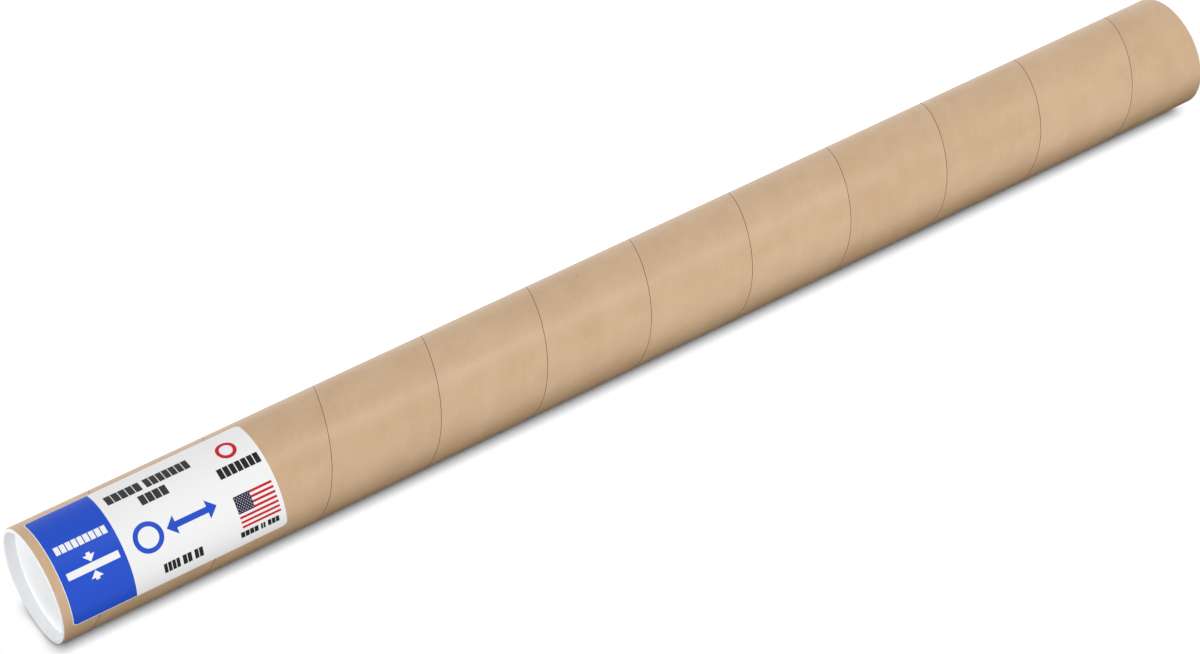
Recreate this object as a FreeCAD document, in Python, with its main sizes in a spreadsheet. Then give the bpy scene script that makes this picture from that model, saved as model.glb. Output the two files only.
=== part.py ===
import FreeCAD, Part
import math
import os
import Sketcher

# Mailing tube with a plug cap in each end and a paper label, lying on its side.
# Millimetres. X runs along the tube from the labelled end to the plain end, and Z is up.
# The origin is under the middle of the tube, on the surface that it lies on.

SIZES = (
    ("tube_length", 1524.0, "paper tube, end face to end face"),
    ("tube_bore", 127.0, "inside diameter of the paper tube"),
    ("tube_wall", 3.175, "thickness of the wound paper wall"),
    ("flat_depth", 0.25, "how far the tube is pressed flat along the line that it lies on"),
    ("strip_width", 130.0, "width of the outermost paper strip, edge to edge"),
    ("seam_first", 78.2, "where the seam first crosses the top line, from the labelled end"),
    ("seam_gap", 0.7, "gap between neighbouring turns of the outermost strip"),
    ("seam_depth", 0.3, "thickness of the outermost strip"),
    ("cap_fit", 0.05, "radial clearance of the plug in the bore, where it is tightest"),
    ("cap_setback", 0.9, "how far the flange's rim stays inside the tube's outside"),
    ("flange_thickness", 1.5, "flange of the cap, over the tube's end face"),
    ("flange_bevel", 0.5, "bevel of the flange's rim and of the cap's mouth"),
    ("plug_length", 12.7, "how far the plug goes into the tube"),
    ("plug_taper", 0.35, "how much smaller the plug's radius is at its nose"),
    ("plug_wall", 1.6, "side wall of the plug"),
    ("plug_floor", 1.6, "floor of the plug"),
    ("plug_nose_bevel", 1.6, "lead-in bevel of the plug's nose"),
    ("recess_bevel", 1.2, "bevel where the recess's wall meets its floor"),
    ("label_length", 256.0, "label, along the tube"),
    ("label_height", 144.0, "label, round the tube"),
    ("label_from_end", 10.0, "gap between the label and the tube's labelled end"),
    ("label_turn", 34.2, "degrees from the top line to the label's middle line"),
    ("label_thickness", 0.12, "label stock"),
    ("label_corner", 3.5, "corner radius of the label"),
    ("glue_film", 0.03, "adhesive between the label and the tube"),
)

TUBE_RADIUS = "(sizes.tube_bore / 2 + sizes.tube_wall)"
TUBE_END = "(sizes.tube_length / 2)"
AXIS_HEIGHT = f"({TUBE_RADIUS} - sizes.flat_depth)"
SAME_SIZE = 1e-4

document = FreeCAD.newDocument("mailing_tube")
sheet = document.addObject("Spreadsheet::Sheet", "sizes")
for row, (alias, value, meaning) in enumerate(SIZES, start=1):
    sheet.set(f"A{row}", meaning)
    sheet.set(f"B{row}", str(value))
    sheet.setAlias(f"B{row}", alias)
document.recompute()


def new_body(label):
    """A body whose own X axis is the tube's axis, at the height at which the tube lies."""
    body = document.addObject("PartDesign::Body", label)
    body.Label = label
    body.setExpression("Placement.Base.z", AXIS_HEIGHT)
    return body


def new_sketch(body, name, plane_role):
    """A sketch on one of the body's own origin planes."""
    sketch = body.newObject("Sketcher::SketchObject", name)
    plane = next(item for item in body.Origin.OriginFeatures if item.Role == plane_role)
    sketch.AttachmentSupport = [(plane, "")]
    sketch.MapMode = "FlatFace"
    return sketch


def add_circle(sketch, name, radius):
    """A circle round the sketch's origin, its radius tied to the sheet."""
    circle = Part.Circle(FreeCAD.Vector(0, 0, 0), FreeCAD.Vector(0, 0, 1), sketch.evalExpression(radius))
    index = sketch.addGeometry(circle)
    sketch.addConstraint(Sketcher.Constraint("Coincident", index, 3, -1, 1))
    sketch.addConstraint(Sketcher.Constraint("Radius", index, circle.Radius))
    sketch.renameConstraint(sketch.ConstraintCount - 1, name)
    sketch.setExpression(f"Constraints.{name}", radius)


def add_outline(sketch, corners):
    """A closed outline of straight lines. A corner is its name, place along the axis and distance out."""
    places = [(sketch.evalExpression(along), sketch.evalExpression(out)) for _, along, out in corners]
    points = [FreeCAD.Vector(along, out, 0) for along, out in places]
    for index, point in enumerate(points):
        sketch.addGeometry(Part.LineSegment(point, points[(index + 1) % len(points)]))
    for index in range(len(points)):
        following = (index + 1) % len(points)
        sketch.addConstraint(Sketcher.Constraint("Coincident", index, 2, following, 1))
    for index, (name, along, out) in enumerate(corners):
        placings = (("DistanceX", "along", -2, along), ("DistanceY", "out", -1, out))
        for kind, suffix, axis, expression in placings:
            if expression == "0":
                sketch.addConstraint(Sketcher.Constraint("PointOnObject", index, 1, axis))
                continue
            value = sketch.evalExpression(expression)
            sketch.addConstraint(Sketcher.Constraint(kind, -1, 1, index, 1, value))
            sketch.renameConstraint(sketch.ConstraintCount - 1, f"{name}_{suffix}")
            sketch.setExpression(f"Constraints.{name}_{suffix}", expression)


def dress_edges(body, kind, name, picks, size_name, size):
    """A fillet or chamfer on those edges of the body's last feature that picks says yes to."""
    document.recompute()
    base = body.Tip
    edges = [f"Edge{number}" for number, edge in enumerate(base.Shape.Edges, start=1) if picks(edge)]
    if not edges:
        raise ValueError(f"{name} finds no edge")
    feature = body.newObject(kind, name)
    feature.Base = (base, edges)
    feature.setExpression(size_name, size)


def round_edges(body, name, picks, radius):
    dress_edges(body, "PartDesign::Fillet", name, picks, "Radius", radius)


def bevel_edges(body, name, picks, size):
    dress_edges(body, "PartDesign::Chamfer", name, picks, "Size", size)


def circle_at(sketch, along, out):
    """Picks the round edge at one corner of a turned outline."""
    place = sketch.evalExpression(along)
    radius = sketch.evalExpression(out)

    def picks(edge):
        curve = edge.Curve
        if curve.TypeId != "Part::GeomCircle":
            return False
        return abs(curve.Center.x - place) < SAME_SIZE and abs(curve.Radius - radius) < SAME_SIZE

    return picks


def compare_wall(shape, pitch):
    """Tests that the seam is open wherever it crosses the top line, and compares the wall's volume."""
    length = sheet.get("tube_length")
    depth = sheet.get("seam_depth")
    flat = sheet.get("flat_depth")
    bore = sheet.get("tube_bore") / 2
    radius = bore + sheet.get("tube_wall")
    turns = int((length - sheet.get("seam_first")) / pitch) + 1
    crossings = [sheet.get("seam_first") + turn * pitch for turn in range(turns)]
    places = [FreeCAD.Vector(along, 0, radius - depth / 2) for along in crossings]
    closed = [place.x for place in places if shape.isInside(place, SAME_SIZE, True)]
    if closed:
        raise RuntimeError(f"the seam is closed at {closed}")
    pipe = math.pi * (radius ** 2 - bore ** 2) * length
    seam = sheet.get("seam_gap") * depth * 2 * math.pi * (radius - depth / 2) * length / pitch
    half_flat = math.acos(1 - flat / radius)
    pressed = (half_flat - math.sin(half_flat) * math.cos(half_flat)) * radius ** 2 * length
    print(f"the seam is open at {turns} crossings and removes {seam:.0f} mm3, the flat {pressed:.0f} mm3")
    print(f"the wall is {shape.Volume:.0f} mm3, by its sizes {pipe - seam - pressed:.0f} mm3")


def build_tube():
    """The wound paper wall: a pipe, with the outermost strip's edges showing as one left-handed seam.

    A wound paper tube isn't perfectly round, and settles on a slight flat instead of rolling away.
    """
    body = new_body("tube")
    body.setExpression("Placement.Base.x", f"-{TUBE_END}")
    section = new_sketch(body, "wall_section", "YZ_Plane")
    add_circle(section, "outside", TUBE_RADIUS)
    add_circle(section, "bore", "sizes.tube_bore / 2")
    wall = body.newObject("PartDesign::Pad", "wall")
    wall.Profile = section
    wall.setExpression("Length", "sizes.tube_length")

    # A strip wound edge to edge climbs by its width over the cosine of its slant in each turn.
    # The sine of the slant is the strip's width over the tube's girth.
    pitch = f"(sizes.strip_width / sqrt(1 - (sizes.strip_width / (2 * pi * {TUBE_RADIUS})) ^ 2))"
    left = f"(sizes.seam_first - {pitch} - sizes.seam_gap / 2)"
    right = f"(sizes.seam_first - {pitch} + sizes.seam_gap / 2)"
    bottom = f"({TUBE_RADIUS} - sizes.seam_depth)"
    top = f"({TUBE_RADIUS} + sizes.seam_depth)"
    gap = new_sketch(body, "seam_section", "XZ_Plane")
    corners = (
        ("left_bottom", left, bottom),
        ("right_bottom", right, bottom),
        ("right_top", right, top),
        ("left_top", left, top),
    )
    add_outline(gap, corners)
    seam = body.newObject("PartDesign::SubtractiveHelix", "seam")
    seam.Profile = gap
    seam.ReferenceAxis = (gap, ["H_Axis"])
    seam.Mode = "pitch-height-angle"
    seam.LeftHanded = True
    seam.Refine = False
    seam.setExpression("Pitch", pitch)
    seam.setExpression("Height", f"sizes.tube_length + 2 * {pitch}")
    document.recompute()

    under = new_sketch(body, "flat_section", "XZ_Plane")
    corners = (
        ("near_top", "0", f"-{AXIS_HEIGHT}"),
        ("far_top", "sizes.tube_length", f"-{AXIS_HEIGHT}"),
        ("far_bottom", "sizes.tube_length", f"-{TUBE_RADIUS}"),
        ("near_bottom", "0", f"-{TUBE_RADIUS}"),
    )
    add_outline(under, corners)
    flat = body.newObject("PartDesign::Pocket", "flat")
    flat.Profile = under
    flat.Midplane = True
    flat.Refine = False
    flat.setExpression("Length", "sizes.tube_bore")
    document.recompute()
    compare_wall(flat.Shape, seam.Pitch.Value)
    return body


def build_cap(label, end):
    """A moulded plug cap: a thin flange over the tube's end face and a tapered cup that plugs the bore.

    In the body's own frame the flange's outer face is at 0 and the cup goes along +X. end is -1 for the
    labelled end of the tube and 1 for the plain one, where the cap is turned round to face the other way.
    """
    body = new_body(label)
    if end > 0:
        body.Placement.Rotation = FreeCAD.Rotation(FreeCAD.Vector(0, 0, 1), 180)
    body.setExpression("Placement.Base.x", f"{end} * ({TUBE_END} + sizes.flange_thickness)")
    root = "(sizes.tube_bore / 2 - sizes.cap_fit)"
    nose = f"({root} - sizes.plug_taper)"
    rim = f"({TUBE_RADIUS} - sizes.cap_setback)"
    mouth = f"({root} - sizes.plug_wall)"
    recess = f"({nose} - sizes.plug_wall)"
    seat_at = "sizes.flange_thickness"
    nose_at = "(sizes.flange_thickness + sizes.plug_length)"
    floor_at = f"({nose_at} - sizes.plug_floor)"
    section = new_sketch(body, f"{label}_section", "XZ_Plane")
    corners = (
        ("mouth", "0", mouth),
        ("rim_outside", "0", rim),
        ("rim_seat", seat_at, rim),
        ("plug_root", seat_at, root),
        ("plug_nose", nose_at, nose),
        ("nose_middle", nose_at, "0"),
        ("floor_middle", floor_at, "0"),
        ("recess_root", floor_at, recess),
    )
    add_outline(section, corners)
    turned = body.newObject("PartDesign::Revolution", f"{label}_turned")
    turned.Profile = section
    turned.ReferenceAxis = (section, ["H_Axis"])
    turned.Angle = 360
    bevel_edges(body, f"{label}_nose_bevel", circle_at(section, nose_at, nose), "sizes.plug_nose_bevel")
    bevel_edges(body, f"{label}_recess_bevel", circle_at(section, floor_at, recess), "sizes.recess_bevel")
    bevel_edges(body, f"{label}_rim_bevel", circle_at(section, "0", rim), "sizes.flange_bevel")
    bevel_edges(body, f"{label}_mouth_bevel", circle_at(section, "0", mouth), "sizes.flange_bevel")
    return body


def build_label():
    """The paper label: one curved sheet that follows the tube, with rounded corners."""
    body = new_body("label")
    body.Placement.Rotation = FreeCAD.Rotation(FreeCAD.Vector(1, 0, 0), 1)
    body.setExpression("Placement.Rotation.Angle", "sizes.label_turn")
    body.setExpression("Placement.Base.x", f"sizes.label_from_end - {TUBE_END}")
    inside = f"({TUBE_RADIUS} + sizes.glue_film)"
    outside = f"({inside} + sizes.label_thickness)"
    section = new_sketch(body, "label_section", "XZ_Plane")
    corners = (
        ("near_inside", "0", inside),
        ("far_inside", "sizes.label_length", inside),
        ("far_outside", "sizes.label_length", outside),
        ("near_outside", "0", outside),
    )
    add_outline(section, corners)
    bent = body.newObject("PartDesign::Revolution", "label_bent")
    bent.Profile = section
    bent.ReferenceAxis = (section, ["H_Axis"])
    bent.Midplane = True
    bent.setExpression("Angle", f"180 / pi * sizes.label_height / {outside}")
    document.recompute()
    thickness = sheet.get("label_thickness")

    def is_corner(edge):
        return abs(edge.Length - thickness) < SAME_SIZE

    round_edges(body, "label_corners", is_corner, "sizes.label_corner")
    return body


bodies = (build_tube(), build_cap("front_cap", -1), build_cap("rear_cap", 1), build_label())
document.recompute()

for item in document.Objects:
    if "Invalid" in item.State or "Error" in item.State:
        raise RuntimeError(f"{item.Label} failed: {item.State}")
for body in bodies:
    if body.Shape.isNull() or not body.Shape.isValid() or len(body.Shape.Solids) != 1:
        raise RuntimeError(f"{body.Label} is not one valid solid")

os.makedirs("parts", exist_ok=True)
for body in bodies:
    body.Shape.exportStep(f"parts/{body.Label}.step")
    box = body.Shape.BoundBox
    print(f"{body.Label}: {body.Shape.Volume:.1f} mm3, X {box.XMin:.2f} to {box.XMax:.2f}, "
          f"Y {box.YMin:.2f} to {box.YMax:.2f}, Z {box.ZMin:.2f} to {box.ZMax:.2f}")
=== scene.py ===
# %% [markdown]
# # A kraft mailing tube with white plug caps
#
# The real object is a long paper tube wound from strips of brown kraft paper, with a moulded white plug cap
# pressed into each end and a printed paper label near one of them. It lies on its side on a pale surface.
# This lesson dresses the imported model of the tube: it builds a fine mesh for each piece around the solid that
# it stands for, gives each piece the finish of its real material, and lights it like a plain studio picture.

# %% Load the frame
import math
import bmesh
import bpy
from mathutils import Matrix, Vector


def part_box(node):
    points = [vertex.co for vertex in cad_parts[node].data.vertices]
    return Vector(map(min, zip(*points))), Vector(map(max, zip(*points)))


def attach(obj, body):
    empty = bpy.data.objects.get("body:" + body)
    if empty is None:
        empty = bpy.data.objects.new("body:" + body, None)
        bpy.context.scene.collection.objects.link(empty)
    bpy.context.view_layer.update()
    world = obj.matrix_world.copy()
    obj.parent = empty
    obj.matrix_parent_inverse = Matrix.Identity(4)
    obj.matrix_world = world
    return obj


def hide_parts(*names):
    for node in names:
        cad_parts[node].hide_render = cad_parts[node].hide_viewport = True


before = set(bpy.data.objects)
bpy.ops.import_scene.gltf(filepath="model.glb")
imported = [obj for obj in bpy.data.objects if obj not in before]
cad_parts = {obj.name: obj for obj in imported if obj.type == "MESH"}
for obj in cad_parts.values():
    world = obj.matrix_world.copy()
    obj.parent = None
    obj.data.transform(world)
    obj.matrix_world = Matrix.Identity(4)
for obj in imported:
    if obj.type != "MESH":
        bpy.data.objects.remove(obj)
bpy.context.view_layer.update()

# %% [markdown]
# ## Sizes that the frame gives
#
# Everything is in metres, with X along the tube. The paper tube's box gives its length and its radius, and
# so the height of its axis above the floor. The tube's underside is pressed very slightly flat where it
# lies, so the axis is measured from the top and not from the middle of the box. The wall, the winding and
# the label are repeated from the real object: the strip's width sets how fast the seam climbs, because a
# strip that covers the tube edge to edge moves along by its own width, measured on the slant, for each turn.

# %% Main sizes
tube_low, tube_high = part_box("tube")
HALF = (tube_high.x - tube_low.x) / 2
RADIUS = (tube_high.y - tube_low.y) / 2
AXIS_Z = tube_high.z - RADIUS
WALL = 0.003175
BORE = RADIUS - WALL
GIRTH = 2 * math.pi * RADIUS
STRIP_WIDTH = 0.130
STRIP_ANGLE = math.asin(STRIP_WIDTH / GIRTH)
PITCH = STRIP_WIDTH / math.cos(STRIP_ANGLE)
SEAM_FIRST = 0.0782
SEAM_GAP = 0.0007
STRIP_THICKNESS = 0.0003
PLY = 0.0004
MM = 0.001
print(f"tube {2 * HALF:.3f} m long, radius {RADIUS * 1000:.2f} mm, seam pitch {PITCH * 1000:.1f} mm")

# %% [markdown]
# ## Camera
#
# The picture is taken with a long lens from in front of the labelled end, looking down at the tube, so the
# tube runs from the lower left corner to the upper right one. The camera is placed by the point that it
# looks at, its distance, and its bearing and height as angles, and kept level.

# %% Place the camera
AIM = Vector((-0.0523, 0.0, 0.0523))
DISTANCE = 4.2705
BEARING = math.radians(-33.945)
HEIGHT = math.radians(44.844)
LENS = 114.79

camera_data = bpy.data.cameras.new("camera")
camera_data.lens = LENS
camera_data.sensor_width = 36.0
camera = bpy.data.objects.new("camera", camera_data)
bpy.context.scene.collection.objects.link(camera)
away = Vector((
    math.sin(BEARING) * math.cos(HEIGHT),
    -math.cos(BEARING) * math.cos(HEIGHT),
    math.sin(HEIGHT),
))
camera.location = AIM + DISTANCE * away
camera.rotation_euler = away.to_track_quat("Z", "Y").to_euler()
bpy.context.scene.camera = camera
print("camera at", [round(value, 3) for value in camera.location])

# %% [markdown]
# ## A helper for finished pieces
#
# Each piece is made as a bmesh and becomes one object at the origin, with its place in its mesh. Curved
# surfaces are shaded smooth, and edges that really are sharp are marked, so that the smoothing stops there.

# %% Turn a bmesh into a piece
SHARP = math.radians(35)


def finish_piece(name, bm, material, node, body):
    for face in bm.faces:
        face.smooth = True
    for edge in bm.edges:
        if edge.is_manifold and edge.calc_face_angle(0.0) > SHARP:
            edge.smooth = False
    mesh = bpy.data.meshes.new(name)
    bm.to_mesh(mesh)
    bm.free()
    piece = bpy.data.objects.new(name, mesh)
    bpy.context.scene.collection.objects.link(piece)
    piece.data.materials.append(material)
    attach(piece, body)
    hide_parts(node)
    loose = sum(1 for edge in mesh.edges if edge.is_loose)
    print(f"{name}: {len(mesh.vertices)} points, {len(mesh.polygons)} faces, {loose} loose edges")


# %% [markdown]
# ## A helper for shader nodes
#
# Node trees read better as short formulas. This small class adds one node at a time and returns its output
# socket, so that a socket can go straight into the next call, as a number would.

# %% A small node writer
class Nodes:
    def __init__(self, name):
        self.material = bpy.data.materials.new(name)
        self.material.use_nodes = True
        self.tree = self.material.node_tree
        self.tree.nodes.clear()

    def add(self, kind, inputs=(), output=0, **settings):
        node = self.tree.nodes.new(kind)
        for key, value in settings.items():
            setattr(node, key, value)
        pairs = inputs.items() if isinstance(inputs, dict) else enumerate(inputs)
        for key, value in pairs:
            if isinstance(value, bpy.types.NodeSocket):
                self.tree.links.new(value, node.inputs[key])
            elif value is not None:
                node.inputs[key].default_value = value
        return node.outputs[output]

    def math(self, operation, *values):
        return self.add("ShaderNodeMath", values, operation=operation)

    def vector(self, operation, *values, output=0):
        return self.add("ShaderNodeVectorMath", values, operation=operation, output=output)

    def join(self, x, y, z=0.0):
        return self.add("ShaderNodeCombineXYZ", (x, y, z))

    def split(self, vector):
        node = self.tree.nodes.new("ShaderNodeSeparateXYZ")
        self.tree.links.new(vector, node.inputs[0])
        return node.outputs[0], node.outputs[1], node.outputs[2]

    def noise(self, vector, scale, detail=2.0, roughness=0.5):
        inputs = {"Vector": vector, "Scale": scale, "Detail": detail, "Roughness": roughness}
        return self.add("ShaderNodeTexNoise", inputs)

    def remap(self, value, low, high, new_low, new_high):
        return self.add("ShaderNodeMapRange", (value, low, high, new_low, new_high))

    def mix(self, factor, first, second):
        """Factor 0 gives the first colour and 1 the second."""
        node = self.tree.nodes.new("ShaderNodeMix")
        node.data_type = "RGBA"
        for key, value in ((0, factor), (6, first), (7, second)):
            if isinstance(value, bpy.types.NodeSocket):
                self.tree.links.new(value, node.inputs[key])
            else:
                node.inputs[key].default_value = value
        return node.outputs[2]

    def surface(self, shader):
        output = self.tree.nodes.new("ShaderNodeOutputMaterial")
        self.tree.links.new(shader, output.inputs["Surface"])
        return self.material


def paint(red, green, blue):
    """A colour given as a paint chart would, in 0 to 255, turned into the linear light that shaders use."""
    values = [channel / 255 for channel in (red, green, blue)]
    linear = [v / 12.92 if v <= 0.04045 else ((v + 0.055) / 1.055) ** 2.4 for v in values]
    return (*linear, 1.0)


# %% [markdown]
# ## Kraft paper
#
# Kraft paper isn't one brown. It has long fibres that lie along the strip, soft clouds where the pulp is
# thicker, fine streaks from the calender rolls, and a few dark specks of bark. All of these follow the wound
# strip, not the tube. So the pattern is laid out on the unrolled strip: one coordinate runs along it and one
# across it, and both are worked out from the place on the tube and its angle round the axis. The only jump
# in them is at the real seam.

# %% Strip coordinates
KRAFT = paint(203, 170, 133)
KRAFT_PALE = paint(217, 187, 153)
KRAFT_DEEP = paint(186, 150, 110)
SEAM_DARK = paint(92, 56, 28)
SPECK = paint(120, 86, 58)
BOARD_EDGE = paint(176, 142, 108)


def strip_coordinates(nodes):
    place = nodes.add("ShaderNodeTexCoord", output=3)
    x, y, z = nodes.split(place)
    lifted = nodes.math("SUBTRACT", z, AXIS_Z)
    toward = nodes.math("MULTIPLY", y, -1.0)
    turn = nodes.math("DIVIDE", nodes.math("ARCTAN2", toward, lifted), 2 * math.pi)
    from_seam = nodes.math("DIVIDE", nodes.math("ADD", x, HALF - SEAM_FIRST), PITCH)
    wound = nodes.math("ADD", from_seam, turn)
    across = nodes.math("FRACT", wound)
    along = nodes.math("SUBTRACT", turn, nodes.math("FLOOR", wound))
    radius = nodes.vector("LENGTH", nodes.join(0.0, y, lifted), output=1)
    flat = nodes.join(
        nodes.math("MULTIPLY", along, GIRTH / math.cos(STRIP_ANGLE)),
        nodes.math("MULTIPLY", across, STRIP_WIDTH),
        radius,
    )
    return flat, across, radius, x


def build_kraft():
    nodes = Nodes("wound_kraft_paper")
    flat, across, radius, x = strip_coordinates(nodes)
    fibre_stretch = nodes.vector("MULTIPLY", flat, (1.0, 7.0, 7.0))
    fibres = nodes.noise(fibre_stretch, 170.0, 4.0, 0.6)
    streaks = nodes.noise(nodes.vector("MULTIPLY", flat, (1.0, 30.0, 1.0)), 6.0, 3.0, 0.55)
    clouds = nodes.noise(flat, 38.0, 3.0, 0.55)
    grain = nodes.noise(flat, 420.0, 3.0, 0.6)
    drift = nodes.noise(flat, 7.0, 1.0, 0.5)

    tone = nodes.remap(clouds, 0.3, 0.7, -0.3, 0.3)
    for pattern, depth in ((fibres, 0.16), (streaks, 0.09), (grain, 0.14), (drift, 0.2)):
        tone = nodes.math("ADD", tone, nodes.remap(pattern, 0.3, 0.7, -depth, depth))
    pale = nodes.remap(tone, 0.0, 1.4, 0.0, 1.0)
    deep = nodes.remap(tone, 0.0, -1.4, 0.0, 1.0)
    colour = nodes.mix(pale, KRAFT, KRAFT_PALE)
    colour = nodes.mix(deep, colour, KRAFT_DEEP)

    speck_stretch = nodes.vector("MULTIPLY", flat, (1.0, 1.8, 1.0))
    from_speck = nodes.add("ShaderNodeTexVoronoi", {"Vector": speck_stretch, "Scale": 26.0})
    cell_number, _, _ = nodes.split(from_speck.node.outputs["Color"])
    chosen = nodes.math("GREATER_THAN", cell_number, 0.72)
    speck = nodes.math("MULTIPLY", chosen, nodes.remap(from_speck, 0.012, 0.03, 0.75, 0.0))
    colour = nodes.mix(speck, colour, SPECK)

    nearer_edge = nodes.math("MINIMUM", across, nodes.math("SUBTRACT", 1.0, across))
    from_seam = nodes.math("MULTIPLY", nearer_edge, PITCH)
    lip = SEAM_GAP / 2 + 0.1 * MM
    # Painted highlight along both edges of the seam gap, partly the paler cut edge of the strip: within a
    # millimetre of the gap the colour is lifted towards KRAFT_PALE.
    seam_edge_pale_and_highlight = nodes.remap(from_seam, lip, lip + 1.0 * MM, 0.4, 0.0)
    colour = nodes.mix(seam_edge_pale_and_highlight, colour, KRAFT_PALE)
    in_seam = nodes.remap(from_seam, SEAM_GAP / 2, lip, 1.0, 0.0)
    colour = nodes.mix(in_seam, colour, SEAM_DARK)

    ply = nodes.math("DIVIDE", nodes.math("SUBTRACT", radius, BORE), PLY)
    from_middle = nodes.math("ABSOLUTE", nodes.math("SUBTRACT", nodes.math("FRACT", ply), 0.5))
    ply_line = nodes.remap(from_middle, 0.3, 0.5, 0.0, 0.55)
    cut_face = nodes.math("GREATER_THAN", nodes.math("ABSOLUTE", x), HALF - 0.02 * MM)
    cut_colour = nodes.mix(ply_line, BOARD_EDGE, SEAM_DARK)
    colour = nodes.mix(cut_face, colour, cut_colour)

    height = nodes.math("ADD", nodes.math("MULTIPLY", fibres, 0.6), nodes.math("MULTIPLY", grain, 0.4))
    bump = nodes.add("ShaderNodeBump", {"Strength": 0.35, "Distance": 0.00012, "Height": height})
    roughness = nodes.remap(fibres, 0.3, 0.7, 0.38, 0.44)
    shader = nodes.add(
        "ShaderNodeBsdfPrincipled",
        {"Base Color": colour, "Roughness": roughness, "IOR": 1.58, "Normal": bump},
    )
    return nodes.surface(shader)


kraft = build_kraft()
print("made", kraft.name)

# %% [markdown]
# ## The wound wall
#
# The tube's outermost strip leaves a narrow gap between its turns, and that gap is the spiral line that you
# see. It could be painted, but the line catches light on its edges, so it is cut here. The trick is to draw
# the outline of a single turn, from one gap to the next, and to spin it like a screw thread: each step turns
# it a little and moves it along, and after a full turn its end meets its own beginning. One turn is spun and
# then copied along the tube, which is much quicker than a spin of a dozen turns. The extra at both ends is
# sliced off square, as a saw does, the bore is added, and the cut ends are closed. Last, whatever reaches
# below the surface that the tube lies on is pressed flat.

# %% Build the tube
STEPS_ROUND = 240
EDGE_WEAR = 0.00008
RIM_WEAR = 0.00035
RIM_STEPS = 3
MERGE = 0.00001
CUT_REACH = 1e-7


def ring_edges(bm, x):
    return [e for e in bm.edges if e.is_boundary and all(abs(v.co.x - x) < MERGE for v in e.verts)]


def slice_off(bm, x, outward):
    geometry = bm.verts[:] + bm.edges[:] + bm.faces[:]
    bmesh.ops.bisect_plane(
        bm, geom=geometry, dist=CUT_REACH, plane_co=(x, 0, 0), plane_no=(outward, 0, 0), clear_outer=True
    )


def round_rim(bm, x, outward):
    """Carries an open rim out to its end and a little inwards, in a few steps round a quarter circle."""
    centre = Vector((0, 0, AXIS_Z))
    rim = ring_edges(bm, x)
    last_radius = RADIUS
    last_out = 0.0
    for step in range(1, RIM_STEPS + 1):
        angle = math.radians(90) * step / RIM_STEPS
        radius = RADIUS - RIM_WEAR * (1 - math.cos(angle))
        out = RIM_WEAR * math.sin(angle)
        rim = bmesh.ops.extrude_edge_only(bm, edges=rim)["geom"]
        verts = [item for item in rim if isinstance(item, bmesh.types.BMVert)]
        rim = [item for item in rim if isinstance(item, bmesh.types.BMEdge)]
        shrink = Matrix.Diagonal((1.0, radius / last_radius, radius / last_radius, 1.0))
        bmesh.ops.transform(bm, matrix=shrink, space=Matrix.Translation(-centre), verts=verts)
        bmesh.ops.translate(bm, vec=(outward * (out - last_out), 0, 0), verts=verts)
        last_radius = radius
        last_out = out


def build_tube_wall():
    bm = bmesh.new()
    bottom = RADIUS - STRIP_THICKNESS
    start = -HALF + SEAM_FIRST - 2 * PITCH
    profile = (
        (-SEAM_GAP / 2, bottom),
        (SEAM_GAP / 2, bottom),
        (SEAM_GAP / 2, RADIUS - EDGE_WEAR),
        (SEAM_GAP / 2 + EDGE_WEAR, RADIUS),
        (PITCH - SEAM_GAP / 2 - EDGE_WEAR, RADIUS),
        (PITCH - SEAM_GAP / 2, RADIUS - EDGE_WEAR),
        (PITCH - SEAM_GAP / 2, bottom),
    )
    corners = [bm.verts.new((start + along, 0.0, AXIS_Z + out)) for along, out in profile]
    line = [bm.edges.new(pair) for pair in zip(corners, corners[1:])]
    bmesh.ops.spin(
        bm,
        geom=corners + line,
        cent=(0, 0, AXIS_Z),
        axis=(1, 0, 0),
        dvec=(PITCH / STEPS_ROUND, 0, 0),
        angle=-2 * math.pi,
        steps=STEPS_ROUND,
        use_duplicate=False,
    )
    one_turn = bm.verts[:] + bm.edges[:] + bm.faces[:]
    for turn in range(1, math.ceil(2 * HALF / PITCH) + 3):
        copied = bmesh.ops.duplicate(bm, geom=one_turn)["geom"]
        moved = [item for item in copied if isinstance(item, bmesh.types.BMVert)]
        bmesh.ops.translate(bm, vec=(turn * PITCH, 0, 0), verts=moved)
    bmesh.ops.remove_doubles(bm, verts=bm.verts[:], dist=MERGE)
    for outward in (-1, 1):
        slice_off(bm, outward * (HALF - RIM_WEAR), outward)
        round_rim(bm, outward * (HALF - RIM_WEAR), outward)

    turned = Matrix.Translation((-HALF, 0, AXIS_Z)) @ Matrix.Rotation(math.radians(90), 4, "Y")
    circle = bmesh.ops.create_circle(bm, segments=STEPS_ROUND, radius=BORE, matrix=turned)["verts"]
    circle_edges = list({edge for vert in circle for edge in vert.link_edges})
    far = bmesh.ops.extrude_edge_only(bm, edges=circle_edges)["geom"]
    far = [item for item in far if isinstance(item, bmesh.types.BMVert)]
    bmesh.ops.translate(bm, vec=(2 * HALF, 0, 0), verts=far)
    for end in (-HALF, HALF):
        bmesh.ops.triangle_fill(bm, edges=ring_edges(bm, end), use_beauty=True, normal=(end, 0, 0))
    bmesh.ops.recalc_face_normals(bm, faces=bm.faces[:])
    for vert in bm.verts:
        vert.co.z = max(vert.co.z, 0.0)
    holes = sum(1 for edge in bm.edges if not edge.is_manifold)
    print("open edges in the wall:", holes)
    finish_piece("wound_tube_wall", bm, kraft, "tube", "tube")


build_tube_wall()

# %% [markdown]
# ## Moulded plastic
#
# The caps are white polyethylene: satin, very slightly cloudy, with a fine mould grain and faint flow marks
# that run out from the middle, where the plastic was injected. The marks change only the gloss, and little.

# %% Cap plastic
CAP_WHITE = paint(244, 245, 247)
CAP_CLOUD = paint(240, 242, 244)


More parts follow.
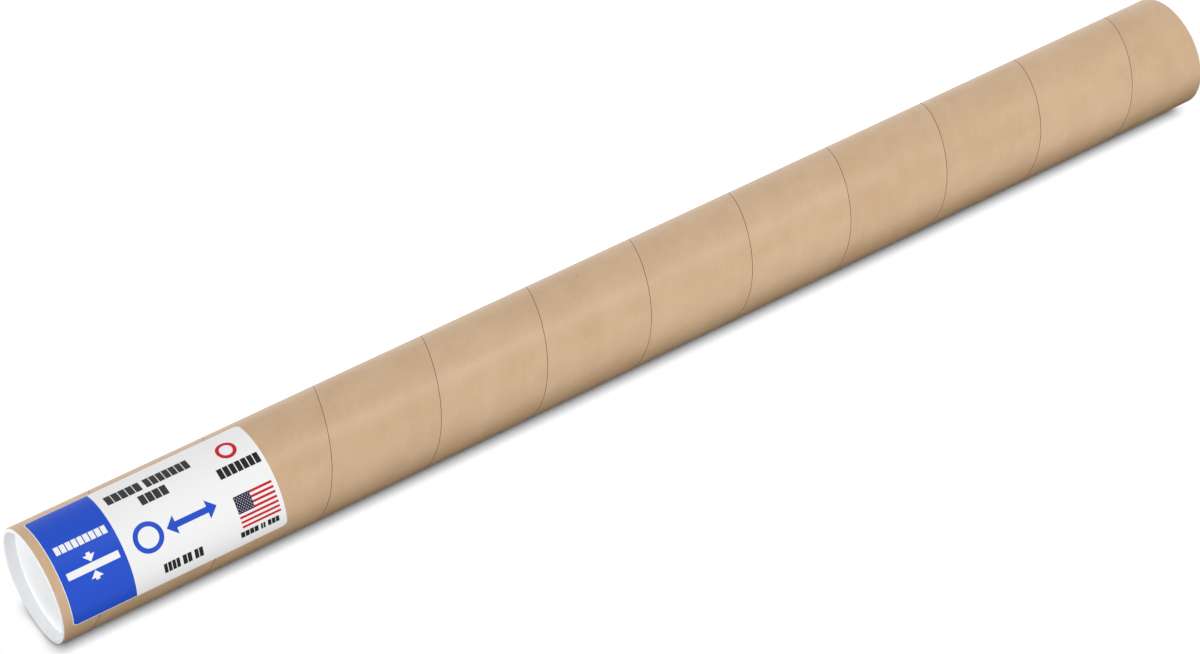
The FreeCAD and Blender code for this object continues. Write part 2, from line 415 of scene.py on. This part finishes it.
def build_plastic():
    nodes = Nodes("moulded_white_plastic")
    place = nodes.add("ShaderNodeTexCoord", output=3)
    grain = nodes.noise(place, 2600.0, 2.0, 0.5)
    waves = nodes.noise(place, 38.0, 2.0, 0.5)
    x, y, z = nodes.split(place)
    bearing = nodes.math("ARCTAN2", y, nodes.math("SUBTRACT", z, AXIS_Z))
    outwards = nodes.join(nodes.math("SINE", bearing), nodes.math("COSINE", bearing), x)
    flow = nodes.noise(outwards, 9.0, 2.0, 0.5)
    height = nodes.math("ADD", nodes.math("MULTIPLY", grain, 0.03), waves)
    bump = nodes.add("ShaderNodeBump", {"Strength": 0.12, "Distance": 0.0006, "Height": height})
    roughness = nodes.remap(flow, 0.3, 0.7, 0.3, 0.42)
    shade = nodes.mix(nodes.remap(waves, 0.3, 0.7, 0.0, 1.0), CAP_CLOUD, CAP_WHITE)
    shader = nodes.add(
        "ShaderNodeBsdfPrincipled",
        {"Base Color": shade, "Roughness": roughness, "IOR": 1.5, "Normal": bump},
    )
    return nodes.surface(shader)


plastic = build_plastic()
print("made", plastic.name)

# %% [markdown]
# ## Plug caps
#
# A cap is round, so one outline spun about the tube's axis makes it: the flange that covers the paper's end,
# the tapered wall that plugs the bore, and the flat floor. The spin leaves sharp corners, and a bevel with a
# few segments then gives each one the radius that its mould had. The far cap is the same outline, mirrored.

# %% Build the caps
STEPS_CAP = 192
FLANGE = 0.0015
PLUG_LENGTH = 0.0127
PLUG_WALL = 0.0016
PLUG_TAPER = 0.00035
CAP_FIT = 0.00005
CAP_SETBACK = 0.0009
CAP_MERGE = 0.000001


def on_ring(edge, x, radius):
    """Whether both ends of an edge lie on the circle of that radius round the axis, at that x."""
    for vert in edge.verts:
        out = math.hypot(vert.co.y, vert.co.z - AXIS_Z)
        if abs(vert.co.x - x) >= CAP_MERGE or abs(out - radius) >= CAP_MERGE:
            return False
    return True


def build_cap(name, node, side):
    """side is -1 for the cap at the labelled end, whose open face looks along -X, and 1 for the other.

    A corner of the outline is its depth below the flange's face, its distance out and its mould radius.
    """
    face_x = side * (HALF + FLANGE)
    root = BORE - CAP_FIT
    tip = root - PLUG_TAPER
    nose = FLANGE + PLUG_LENGTH
    floor = nose - PLUG_WALL
    centre = (floor, 0.0, 0.0)
    recess = (floor, tip - PLUG_WALL, 0.0015)
    mouth = (0.0, root - PLUG_WALL, 0.0005)
    rim = (0.0, RADIUS - CAP_SETBACK, 0.0005)
    seat = (FLANGE, RADIUS - CAP_SETBACK, 0.0001)
    inner_seat = (FLANGE, root, 0.0)
    nose_rim = (nose, tip, 0.0016)
    back = (nose, 0.0, 0.0)
    outline = (centre, recess, mouth, rim, seat, inner_seat, nose_rim, back)
    bm = bmesh.new()
    points = [bm.verts.new((face_x - side * depth, 0.0, AXIS_Z + out)) for depth, out, _ in outline]
    line = [bm.edges.new(pair) for pair in zip(points, points[1:])]
    bmesh.ops.spin(
        bm,
        geom=points + line,
        cent=(0, 0, AXIS_Z),
        axis=(1, 0, 0),
        dvec=(0, 0, 0),
        angle=2 * math.pi,
        steps=STEPS_CAP,
        use_merge=True,
        use_duplicate=False,
    )
    bmesh.ops.remove_doubles(bm, verts=bm.verts[:], dist=CAP_MERGE)
    for depth, out, size in outline:
        if size == 0.0:
            continue
        ring = [edge for edge in bm.edges if on_ring(edge, face_x - side * depth, out)]
        bmesh.ops.bevel(
            bm,
            geom=ring,
            offset=size,
            offset_type="OFFSET",
            segments=4,
            profile=0.5,
            affect="EDGES",
            material=-1,
        )
    bmesh.ops.recalc_face_normals(bm, faces=bm.faces[:])
    finish_piece(name, bm, plastic, node, node)


build_cap("near_plug_cap", "front_cap", -1)
build_cap("far_plug_cap", "rear_cap", 1)

# %% [markdown]
# ## What is printed on the label
#
# The label is coated white paper with a blue panel at one end. Its print is made of plain shapes, measured
# in millimetres from its upper corner near the cap: bars for lines of small print, an outline of a wall
# and its thickness in the panel, a ring and a long bar with arrows for the tube's two sizes, and a striped
# flag with stars. A shape is a distance: how far a point of the paper lies outside a rounded block or a
# ring. Where that distance is below zero there is ink, with a soft edge of a few hundredths of a millimetre.

# %% Inks and the shapes that they fill
LABEL_LENGTH = 0.256
LABEL_HEIGHT = 0.144
LABEL_FROM_END = 0.010
LABEL_TURN = math.radians(34.2)
LABEL_STOCK = 0.00012
GLUE = 0.00003
NEAR_CORNER = 0.005
FAR_CORNER = 0.006
INK_EDGE = 0.06
PAPER_WHITE = paint(249, 249, 249)
PANEL_BLUE = paint(28, 80, 206)
FIGURE_BLUE = paint(34, 80, 204)
TITLE_GREY = paint(52, 52, 56)
LINE_BLACK = paint(18, 18, 22)
MARK_RED = paint(205, 28, 44)
FLAG_RED = paint(205, 26, 38)
FLAG_NAVY = paint(22, 26, 58)


class Print(Nodes):
    """Shapes on the flat label, in millimetres, each given as ink coverage from 0 to 1."""

    def __init__(self, name):
        super().__init__(name)
        flat = self.add("ShaderNodeTexCoord", output=2)
        size = (LABEL_LENGTH / MM, LABEL_HEIGHT / MM, 0.0)
        self.place = self.vector("MULTIPLY", flat, size)
        self.x, self.y, _ = self.split(self.place)

    def ink(self, distance):
        return self.remap(distance, -INK_EDGE / 2, INK_EDGE / 2, 1.0, 0.0)

    def either(self, *shapes):
        joined = shapes[0]
        for shape in shapes[1:]:
            joined = self.math("MAXIMUM", joined, shape)
        return joined

    def block(self, left, top, right, bottom, corner=0.4):
        middle = ((left + right) / 2, (top + bottom) / 2, 0.0)
        reach = ((right - left) / 2 - corner, (bottom - top) / 2 - corner, 0.0)
        from_middle = self.vector("ABSOLUTE", self.vector("SUBTRACT", self.place, middle))
        offset = self.vector("SUBTRACT", from_middle, reach)
        outside = self.vector("LENGTH", self.vector("MAXIMUM", offset, (0.0, 0.0, 0.0)), output=1)
        return self.ink(self.math("SUBTRACT", outside, corner))

    def ring(self, x, y, radius, width):
        far = self.vector("LENGTH", self.vector("SUBTRACT", self.place, (x, y, 0.0)), output=1)
        off = self.math("ABSOLUTE", self.math("SUBTRACT", far, radius - width / 2))
        return self.ink(self.math("SUBTRACT", off, width / 2))

    def head(self, tip, line, middle, level, length, half_width, way):
        """A triangle that points along line, to plus or minus as way is 1 or -1, with its tip at tip."""
        back = self.math("MULTIPLY", self.math("SUBTRACT", tip, line), way)
        reach = self.math("MULTIPLY", back, half_width / length)
        side = self.math("ABSOLUTE", self.math("SUBTRACT", level, middle))
        slant = self.math("SUBTRACT", side, reach)
        return self.ink(self.math("MAXIMUM", slant, self.math("SUBTRACT", back, length)))

    def arrow_along(self, tip_x, tip_y, length, half_width, way):
        return self.head(tip_x, self.x, tip_y, self.y, length, half_width, way)

    def arrow_across(self, tip_x, tip_y, length, half_width, way):
        return self.head(tip_y, self.y, tip_x, self.x, length, half_width, way)

    def word(self, left, top, right, bottom, parts, gap=0.9):
        """A bar for a word of small print, cut by narrow gaps into as many blocks as it has parts."""
        bar = self.block(left, top, right, bottom, 0.3)
        step = (right - left + gap) / parts
        inside = self.math("MODULO", self.math("ADD", self.math("SUBTRACT", self.x, left), 10 * step), step)
        cut = self.ink(self.math("SUBTRACT", step - gap, inside))
        return self.math("MULTIPLY", bar, self.math("SUBTRACT", 1.0, cut))


print("label", LABEL_LENGTH / MM, "by", LABEL_HEIGHT / MM, "mm")

# %% [markdown]
# ## The flag
#
# The flag has thirteen stripes and a blue corner with rows of stars, every other row set half a step over.
# One star is drawn in a small repeating tile: its outline is where the distance from the middle, measured
# along the nearest of five spokes, passes a slanted line.

# %% Stripes and stars
FLAG_LEFT, FLAG_TOP, FLAG_RIGHT, FLAG_BOTTOM = 204.5, 84.25, 251.0, 121.0
CANTON_RIGHT = 223.75
STRIPES = 13
STRIPE = (FLAG_BOTTOM - FLAG_TOP) / STRIPES
CANTON_BOTTOM = FLAG_TOP + 7 * STRIPE
STAR_ROWS = 9
STAR_COLUMNS = 6
STAR_SIZE = 0.62
STAR_WAIST = 0.42


def star_cover(label):
    across = (CANTON_RIGHT - FLAG_LEFT) / STAR_COLUMNS
    down = (CANTON_BOTTOM - FLAG_TOP) / (STAR_ROWS + 1)
    row_place = label.math("DIVIDE", label.math("SUBTRACT", label.y, FLAG_TOP + down / 2), down)
    row = label.math("FLOOR", row_place)
    odd = label.math("FLOORED_MODULO", row, 2.0)
    column_place = label.math("DIVIDE", label.math("SUBTRACT", label.x, FLAG_LEFT), across)
    column_place = label.math("SUBTRACT", column_place, label.math("MULTIPLY", odd, 0.5))
    from_x = label.math("MULTIPLY", label.math("SUBTRACT", label.math("FRACT", column_place), 0.5), across)
    from_y = label.math("MULTIPLY", label.math("SUBTRACT", 0.5, label.math("FRACT", row_place)), down)
    far = label.vector("LENGTH", label.join(from_x, from_y), output=1)
    bearing = label.math("ARCTAN2", from_x, from_y)
    spoke = 2 * math.pi / 5
    folded = label.math("PINGPONG", label.math("ADD", bearing, 5 * spoke), spoke / 2)
    notch = label.math("DIVIDE", folded, spoke / 2)
    edge = label.remap(notch, 0.0, 1.0, STAR_SIZE, STAR_SIZE * STAR_WAIST)
    star = label.ink(label.math("SUBTRACT", far, edge))
    from_middle_row = label.math("ABSOLUTE", label.math("SUBTRACT", row, (STAR_ROWS - 1) / 2))
    rows = label.math("LESS_THAN", from_middle_row, STAR_ROWS / 2)
    first = label.math("GREATER_THAN", column_place, 0.0)
    last = label.math("LESS_THAN", label.math("ADD", column_place, odd), float(STAR_COLUMNS))
    return label.math("MULTIPLY", star, label.math("MULTIPLY", rows, label.math("MULTIPLY", first, last)))


def paint_flag(label, colour):
    stripe_place = label.math("DIVIDE", label.math("SUBTRACT", label.y, FLAG_TOP), 2 * STRIPE)
    red_stripe = label.math("LESS_THAN", label.math("FRACT", stripe_place), 0.5)
    field = label.block(FLAG_LEFT, FLAG_TOP, FLAG_RIGHT, FLAG_BOTTOM, 0.1)
    canton = label.block(FLAG_LEFT, FLAG_TOP, CANTON_RIGHT, CANTON_BOTTOM, 0.1)
    colour = label.mix(field, colour, PAPER_WHITE)
    colour = label.mix(label.math("MULTIPLY", field, red_stripe), colour, FLAG_RED)
    colour = label.mix(canton, colour, FLAG_NAVY)
    return label.mix(label.math("MULTIPLY", canton, star_cover(label)), colour, PAPER_WHITE)


# %% [markdown]
# ## Label paper
#
# Each ink is laid over the paper in turn. A block or a word is given by its left, top, right and bottom
# edges, a ring and an arrow by a point and their sizes. The paper is coated, so it has a very slight waviness
# from the glue below it, and solid ink is a little glossier than bare paper.

# %% Print the label
PANEL_RIGHT = 75.0
PANEL_INSET = 0.8
PANEL_BOTTOM = LABEL_HEIGHT / MM - PANEL_INSET
PANEL_CORNER = 4.5
PAPER_CLOUD = paint(246, 246, 247)


def build_label_paper():
    label = Print("printed_label_paper")
    panel = label.block(PANEL_INSET, PANEL_INSET, PANEL_RIGHT + 2 * PANEL_CORNER, PANEL_BOTTOM, PANEL_CORNER)
    panel = label.math("MULTIPLY", panel, label.ink(label.math("SUBTRACT", label.x, PANEL_RIGHT)))
    wall_symbol = label.either(
        label.word(8.5, 51.5, 68.5, 61.0, 9, 1.2),
        label.block(8.5, 82.0, 69.0, 90.0, 0.6),
        label.block(36.5, 70.75, 41.0, 74.0, 0.2),
        label.arrow_across(38.75, 81.0, 7.5, 7.0, 1.0),
        label.block(36.5, 98.0, 41.0, 101.0, 0.2),
        label.arrow_across(38.75, 91.0, 7.5, 7.0, -1.0),
    )
    title = label.either(
        label.word(84.25, 19.5, 125.5, 33.0, 5),
        label.word(130.25, 19.5, 182.75, 33.0, 7),
        label.word(114.75, 38.5, 147.25, 50.75, 4),
    )
    sizes = label.either(
        label.ring(104.5, 84.0, 17.0, 5.5),
        label.block(134.0, 80.5, 177.0, 87.5, 0.3),
        label.arrow_along(126.0, 84.0, 11.0, 10.5, -1.0),
        label.arrow_along(185.5, 84.0, 11.0, 10.5, 1.0),
    )
    lines = label.either(
        label.word(109.75, 118.5, 128.5, 130.5, 4),
        label.word(132.0, 118.5, 142.5, 130.5, 2),
        label.word(146.0, 118.5, 156.0, 130.5, 2),
        label.word(202.25, 50.0, 251.5, 62.25, 7, 1.1),
        label.word(201.0, 125.0, 222.0, 132.5, 4, 0.7),
        label.word(225.0, 125.0, 230.5, 132.5, 2, 0.7),
        label.word(233.5, 125.0, 247.25, 132.5, 3, 0.7),
    )
    mark = label.ring(225.1, 32.0, 11.5, 4.2)

    mottle = label.noise(label.place, 0.9, 3.0, 0.6)
    paper = label.mix(label.remap(mottle, 0.3, 0.7, 0.0, 1.0), PAPER_WHITE, PAPER_CLOUD)
    colour = label.mix(panel, paper, PANEL_BLUE)
    colour = label.mix(wall_symbol, colour, PAPER_WHITE)
    colour = label.mix(title, colour, TITLE_GREY)
    colour = label.mix(sizes, colour, FIGURE_BLUE)
    colour = label.mix(lines, colour, LINE_BLACK)
    colour = label.mix(mark, colour, MARK_RED)
    colour = paint_flag(label, colour)
    waves = label.noise(label.place, 0.06, 2.0, 0.5)
    height = label.math("ADD", waves, label.math("MULTIPLY", mottle, 0.05))
    bump = label.add("ShaderNodeBump", {"Strength": 0.25, "Distance": 0.0004, "Height": height})
    roughness = label.remap(label.either(panel, sizes), 0.0, 1.0, 0.46, 0.38)
    shader = label.add(
        "ShaderNodeBsdfPrincipled",
        {"Base Color": colour, "Roughness": roughness, "Specular IOR Level": 0.2, "Normal": bump},
    )
    return label.surface(shader)


label_paper = build_label_paper()
print("made", label_paper.name, "with", len(label_paper.node_tree.nodes), "nodes")

# %% [markdown]
# ## The label
#
# A label starts as a flat sheet, so it is built flat: a grid with the print's coordinates on it, with its
# corners rounded, cut into narrow strips. Each point is then carried round the tube by the angle that its
# distance from the middle line takes up there, which bends the sheet without stretching it. Its thickness is
# added last.

# %% Build the label
LABEL_STRIPS = 48


def build_label():
    bm = bmesh.new()
    bmesh.ops.create_grid(bm, x_segments=1, y_segments=1, size=0.5, calc_uvs=False)
    bmesh.ops.scale(bm, vec=(LABEL_LENGTH, LABEL_HEIGHT, 1.0), verts=bm.verts[:])
    near_pair = [vert for vert in bm.verts if vert.co.x < 0]
    far_pair = [vert for vert in bm.verts if vert.co.x > 0]
    for pair, corner in ((near_pair, NEAR_CORNER), (far_pair, FAR_CORNER)):
        bmesh.ops.bevel(
            bm,
            geom=pair,
            offset=corner,
            offset_type="OFFSET",
            segments=8,
            profile=0.5,
            affect="VERTICES",
            material=-1,
        )
    for strip in range(1, LABEL_STRIPS):
        level = LABEL_HEIGHT * (strip / LABEL_STRIPS - 0.5)
        geometry = bm.verts[:] + bm.edges[:] + bm.faces[:]
        bmesh.ops.bisect_plane(bm, geom=geometry, dist=CUT_REACH, plane_co=(0, level, 0), plane_no=(0, 1, 0))
    uv_layer = bm.loops.layers.uv.new("print")
    for face in bm.faces:
        for loop in face.loops:
            across = loop.vert.co.x / LABEL_LENGTH + 0.5
            down = 0.5 - loop.vert.co.y / LABEL_HEIGHT
            loop[uv_layer].uv = (across, down)
    outer = RADIUS + GLUE + LABEL_STOCK
    for vert in bm.verts:
        angle = LABEL_TURN - vert.co.y / outer
        along = -HALF + LABEL_FROM_END + LABEL_LENGTH / 2 + vert.co.x
        vert.co = (along, -outer * math.sin(angle), AXIS_Z + outer * math.cos(angle))
    bmesh.ops.recalc_face_normals(bm, faces=bm.faces[:])
    middle = bm.faces[len(bm.faces) // 2]
    if middle.normal.dot(middle.calc_center_median() - Vector((0, 0, AXIS_Z))) < 0:
        bmesh.ops.reverse_faces(bm, faces=bm.faces[:])
    bmesh.ops.solidify(bm, geom=bm.faces[:], thickness=LABEL_STOCK)
    finish_piece("printed_label", bm, label_paper, "label", "tube")


build_label()

# %% [markdown]
# ## Floor and background
#
# The tube lies on a white sweep, and only a soft shadow shows where it touches. That shadow is painted. What
# the camera sees of the floor, also in a reflection, is mostly the floor's own glow, so it looks white without
# throwing extra light on the tube. Both the glow and the paint are held back where the tube crowds the floor:
# the ambient occlusion node says how open the sky is above a point, and the painted shade falls off quickly as
# that rises. For light that bounces back up, and for reflections, the floor is also dim in a band along the
# tube. This is painted shade too, so the tube's underside goes dark as it does over a real sweep.

# %% Floor
FLOOR_REACH = 30.0
FLOOR_PALE = 0.95
FLOOR_MIRRORED = 0.5
NEAR_FLOOR = 0.10
FAR_FLOOR = 0.19
SHADE_REACH = 0.017
SHADE_DARK = 0.28
SHADE_OPEN = 0.92
SHADE_CURVE = 0.6


def seen_by(tree, *rays):
    """1 for the kinds of ray that are named, and 0 for all the others."""
    path = tree.nodes.new("ShaderNodeLightPath")
    seen = path.outputs[rays[0]]
    for name in rays[1:]:
        either = tree.nodes.new("ShaderNodeMath")
        either.operation = "MAXIMUM"
        tree.links.new(seen, either.inputs[0])
        tree.links.new(path.outputs[name], either.inputs[1])
        seen = either.outputs[0]
    return seen


def build_floor():
    nodes = Nodes("pale_floor")
    openness = nodes.add("ShaderNodeAmbientOcclusion", {"Distance": SHADE_REACH}, output=1, samples=12)
    # Painted shadow: the floor's glow and paint are scaled down by how closed the sky is above the point, as
    # the ambient occlusion node finds it.
    light = nodes.math("POWER", nodes.remap(openness, SHADE_DARK, SHADE_OPEN, 0.0, 1.0), SHADE_CURVE)
    x, y, _ = nodes.split(nodes.add("ShaderNodeTexCoord", output=3))
    past_end = nodes.math("SUBTRACT", nodes.math("ABSOLUTE", x), HALF)
    aside = nodes.math("MAXIMUM", nodes.math("ABSOLUTE", y), past_end)
    # Painted shade: a dim band round the tube, set by the distance from it, darkens the floor's paint and its
    # reflections, so the tube's underside gets little bounce light.
    away = nodes.remap(aside, NEAR_FLOOR, FAR_FLOOR, 0.0, 1.0)
    pale = nodes.math("MULTIPLY", nodes.math("MULTIPLY", light, away), FLOOR_PALE)
    paint_layer = nodes.add("ShaderNodeBsdfDiffuse", {"Color": pale})
    direct = seen_by(nodes.tree, "Is Camera Ray", "Is Transmission Ray")
    mirror = nodes.math("MULTIPLY", seen_by(nodes.tree, "Is Glossy Ray"), FLOOR_MIRRORED)
    mirrored = nodes.math("MULTIPLY", mirror, away)
    strength = nodes.math("MULTIPLY", nodes.math("MAXIMUM", direct, mirrored), light)
    glow = nodes.add("ShaderNodeEmission", {"Color": (1.0, 1.0, 1.0, 1.0), "Strength": strength})
    material = nodes.surface(nodes.add("ShaderNodeAddShader", (paint_layer, glow)))
    bm = bmesh.new()
    bmesh.ops.create_grid(bm, x_segments=1, y_segments=1, size=FLOOR_REACH)
    mesh = bpy.data.meshes.new("floor")
    bm.to_mesh(mesh)
    bm.free()
    floor = bpy.data.objects.new("floor", mesh)
    floor.data.materials.append(material)
    bpy.context.scene.collection.objects.link(floor)


build_floor()

# %% [markdown]
# ## World
#
# The world is white to the camera and in reflections, and a little dimmer as a source of light, so that
# colours come out about as they are written.

# %% World
WORLD_LIGHT = 0.72


def build_world():
    world = bpy.data.worlds.new("studio")
    world.use_nodes = True
    bpy.context.scene.world = world
    tree = world.node_tree
    tree.nodes.clear()
    soft = tree.nodes.new("ShaderNodeBackground")
    soft.inputs["Strength"].default_value = WORLD_LIGHT
    white = tree.nodes.new("ShaderNodeBackground")
    white.inputs["Strength"].default_value = 1.0
    for background in (soft, white):
        background.inputs["Color"].default_value = (1.0, 1.0, 1.0, 1.0)
    mix = tree.nodes.new("ShaderNodeMixShader")
    seen = seen_by(tree, "Is Camera Ray", "Is Glossy Ray", "Is Transmission Ray")
    tree.links.new(seen, mix.inputs[0])
    tree.links.new(soft.outputs[0], mix.inputs[1])
    tree.links.new(white.outputs[0], mix.inputs[2])
    output = tree.nodes.new("ShaderNodeOutputWorld")
    tree.links.new(mix.outputs[0], output.inputs["Surface"])


build_world()

# %% [markdown]
# ## Lamps
#
# A softbox hangs over the tube, a little in front of it, and gives the soft pale band along its upper side.
# A broad lamp in front keeps the lower side from going dull, and a small one on the tube's own axis looks at
# the near end: it lights the white cap and leaves the side of the tube alone.

# %% Softboxes
def add_softbox(name, place, target, size, power):
    """A lamp at place that looks at target, both measured from the middle of the tube's axis."""
    data = bpy.data.lights.new(name, "AREA")
    data.shape = "RECTANGLE"
    data.size = size[0]
    data.size_y = size[1]
    data.energy = power
    lamp = bpy.data.objects.new(name, data)
    bpy.context.scene.collection.objects.link(lamp)
    lamp.location = Vector((0.0, 0.0, AXIS_Z)) + place
    lamp.rotation_euler = (place - target).to_track_quat("Z", "Y").to_euler()
    print(name, "at", [round(value, 2) for value in lamp.location])


def over_tube(bearing, distance, along):
    """A place at a distance from the axis, where bearing is the angle from straight up towards the front."""
    return Vector((along, -distance * math.sin(bearing), distance * math.cos(bearing)))


OVERHEAD_ALONG = 0.55
FRONT_ALONG = 0.3
overhead = over_tube(math.radians(19), 2.2, OVERHEAD_ALONG)
front = over_tube(math.radians(76), 3.2, FRONT_ALONG)
end = Vector((-3.4, -0.05, 0.08))
add_softbox("overhead_softbox", overhead, Vector((OVERHEAD_ALONG, 0.0, 0.0)), (1.7, 0.4), 10.5)
add_softbox("front_softbox", front, Vector((FRONT_ALONG, 0.0, 0.0)), (4.0, 1.4), 13.0)
add_softbox("end_softbox", end, Vector((-HALF, 0.0, 0.0)), (1.0, 0.2), 34.0)
bpy.context.scene.view_settings.view_transform = "Standard"
